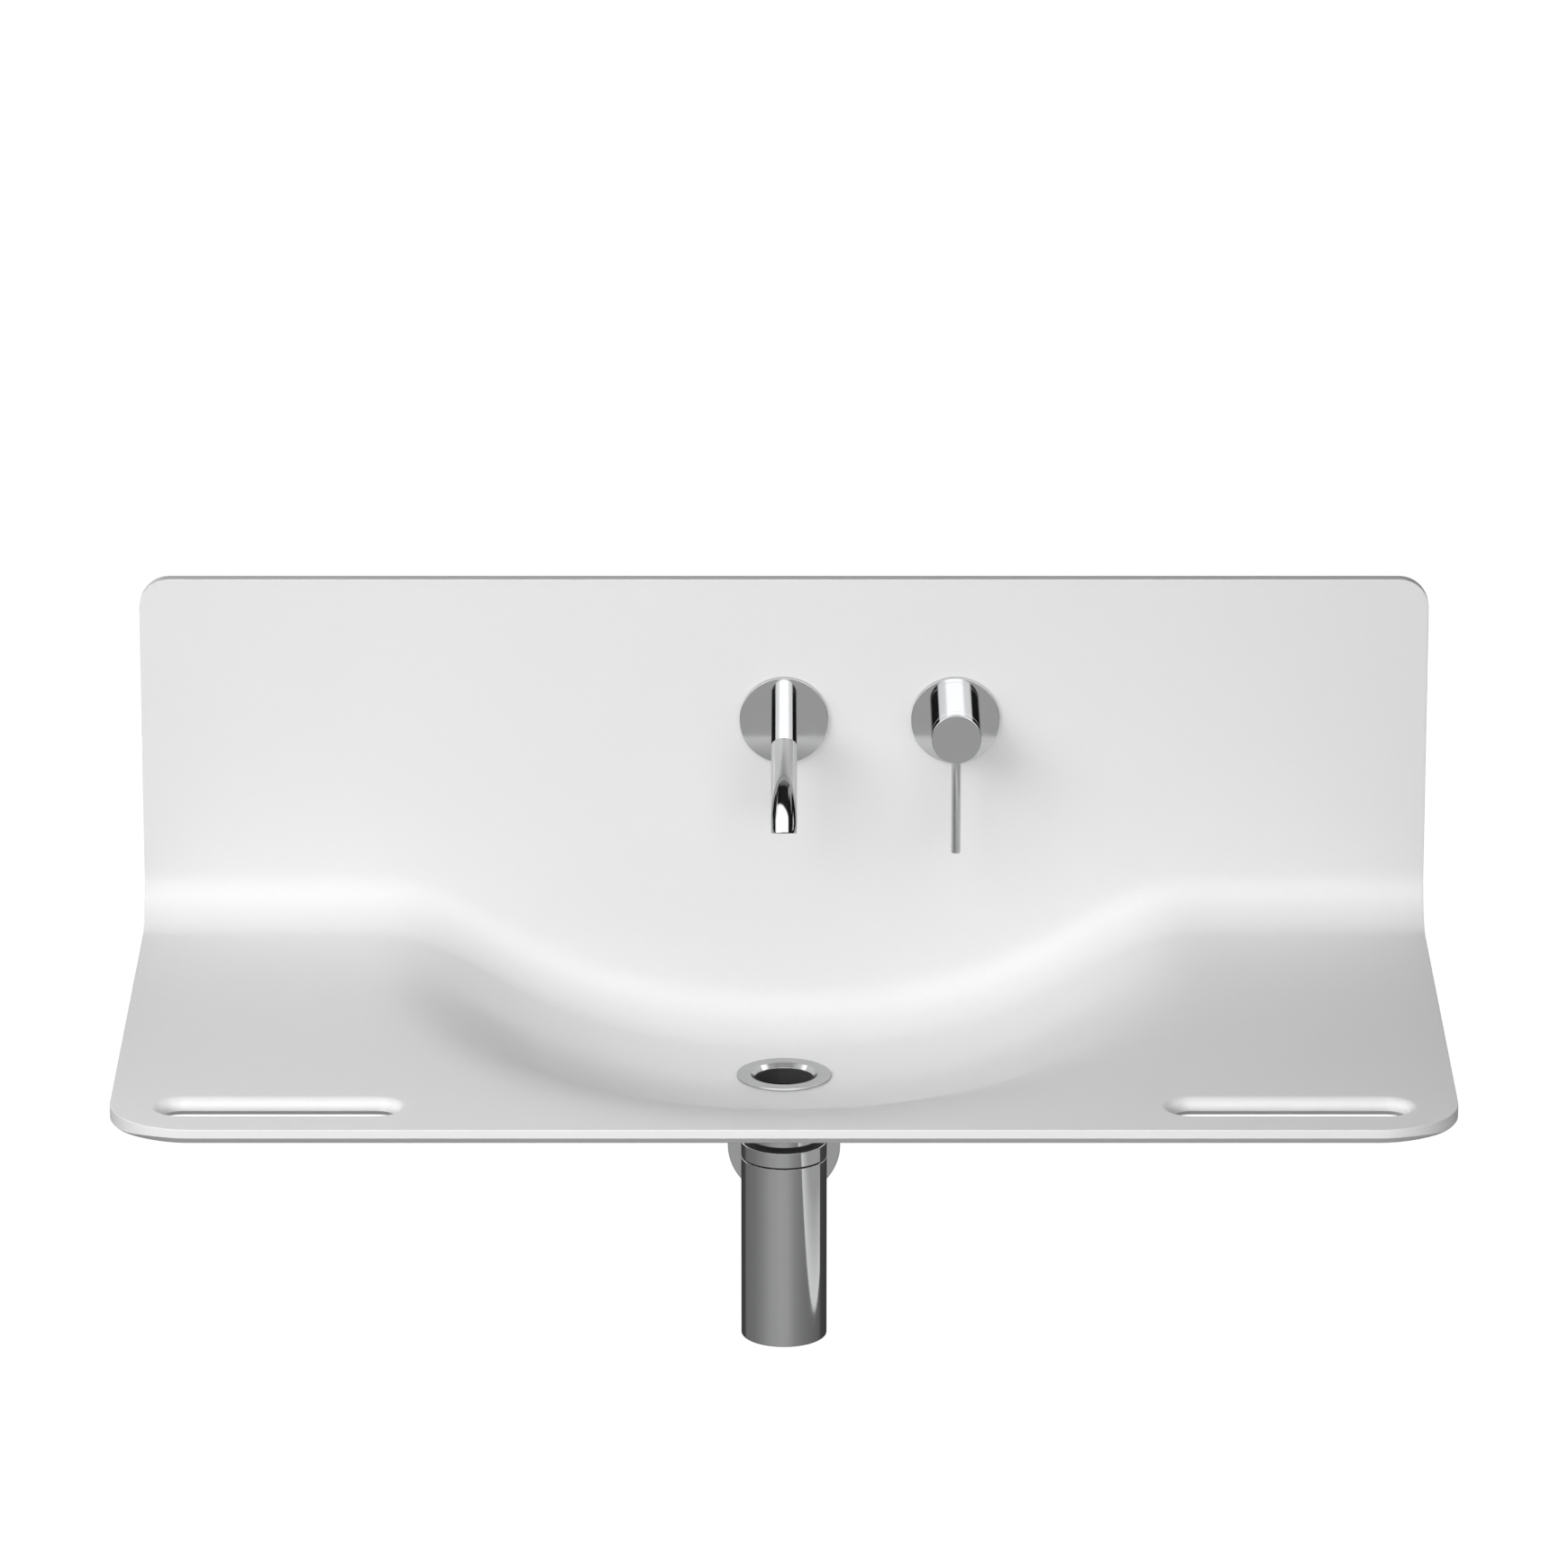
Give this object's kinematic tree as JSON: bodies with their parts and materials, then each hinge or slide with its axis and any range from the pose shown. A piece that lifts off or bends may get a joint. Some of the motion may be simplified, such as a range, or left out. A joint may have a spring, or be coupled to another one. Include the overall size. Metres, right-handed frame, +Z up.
{
  "type": "wall-hung vanity top",
  "caption": "Wall-hung vanity top: thin white sheet with splash panel, moulded bowl and towel slots, wall spout, lever mixer, waste and bottle trap.",
  "frame": {"origin": "on the wall's face, in the middle of the width, level with the deck's top surface", "axes": "+X to the user's right, +Y into the wall, +Z up; the front faces -Y"},
  "size_m": [0.9, 0.51, 0.5247],
  "materials": {
    "solid_surface": "matte",
    "chrome": "polished",
    "stainless_steel": "satin",
    "brass": "satin",
    "copper": "satin",
    "rubber": "matte",
    "plastic": "satin",
    "ceramic": "gloss"
  },
  "bodies": {
    "vanity": {"basin_top": "solid_surface", "support_blocks": "solid_surface", "bracket_left": "stainless_steel", "bracket_right": "stainless_steel", "bracket_inserts": "brass", "bracket_screws": "stainless_steel", "bracket_washers": "stainless_steel", "spout_rosette": "chrome", "spout_rosette_seal": "rubber", "spout_tube": "chrome", "spout_grub_screw": "stainless_steel", "spout_nipple": "brass", "spout_orings": "rubber", "spout_elbow": "brass", "mixed_water_pipe": "copper", "pipe_nuts": "brass", "mixer_rosette": "chrome", "mixer_rosette_seal": "rubber", "mixer_sleeve": "chrome", "valve_body": "brass", "sleeve_oring": "rubber", "cartridge_housing": "plastic", "cartridge_nut": "brass", "ceramic_disc_fixed": "ceramic", "cartridge_base_seal": "rubber", "waste_flange": "chrome", "waste_lining": "rubber", "waste_flange_seal": "rubber", "waste_screw": "stainless_steel", "waste_bottom_seal": "rubber", "waste_tail": "chrome", "trap_neck_nut": "chrome", "trap_neck_seal": "rubber", "trap_neck_washer": "rubber", "trap_dip_tube": "chrome", "trap_cap_ring": "chrome", "trap_cap_oring": "rubber", "trap_joint_gasket": "rubber", "trap_tube_seal": "rubber", "trap_body": "chrome", "trap_outlet_seal": "rubber", "trap_outlet_nut": "chrome", "trap_outlet_pipe": "chrome", "wall_rosette": "chrome"},
    "mixer_handle": {"mixer_knob": "chrome", "mixer_lever": "chrome", "cartridge_spindle": "brass", "ceramic_disc_turning": "ceramic"},
    "trap_plug": {"trap_base_plug": "chrome", "trap_plug_oring": "rubber"}
  },
  "joints": [
    {"name": "mixer_turn", "type": "hinge", "parent": "vanity", "child": "mixer_handle", "pos_m": [0.12, -0.05, 0.148], "axis": [0, -1, 0], "range_deg": [0, 100]},
    {"name": "plug_removal", "type": "slide", "parent": "vanity", "child": "trap_plug", "axis": [0, 0, -1], "range_m": [0, 0.06]}
  ]
}
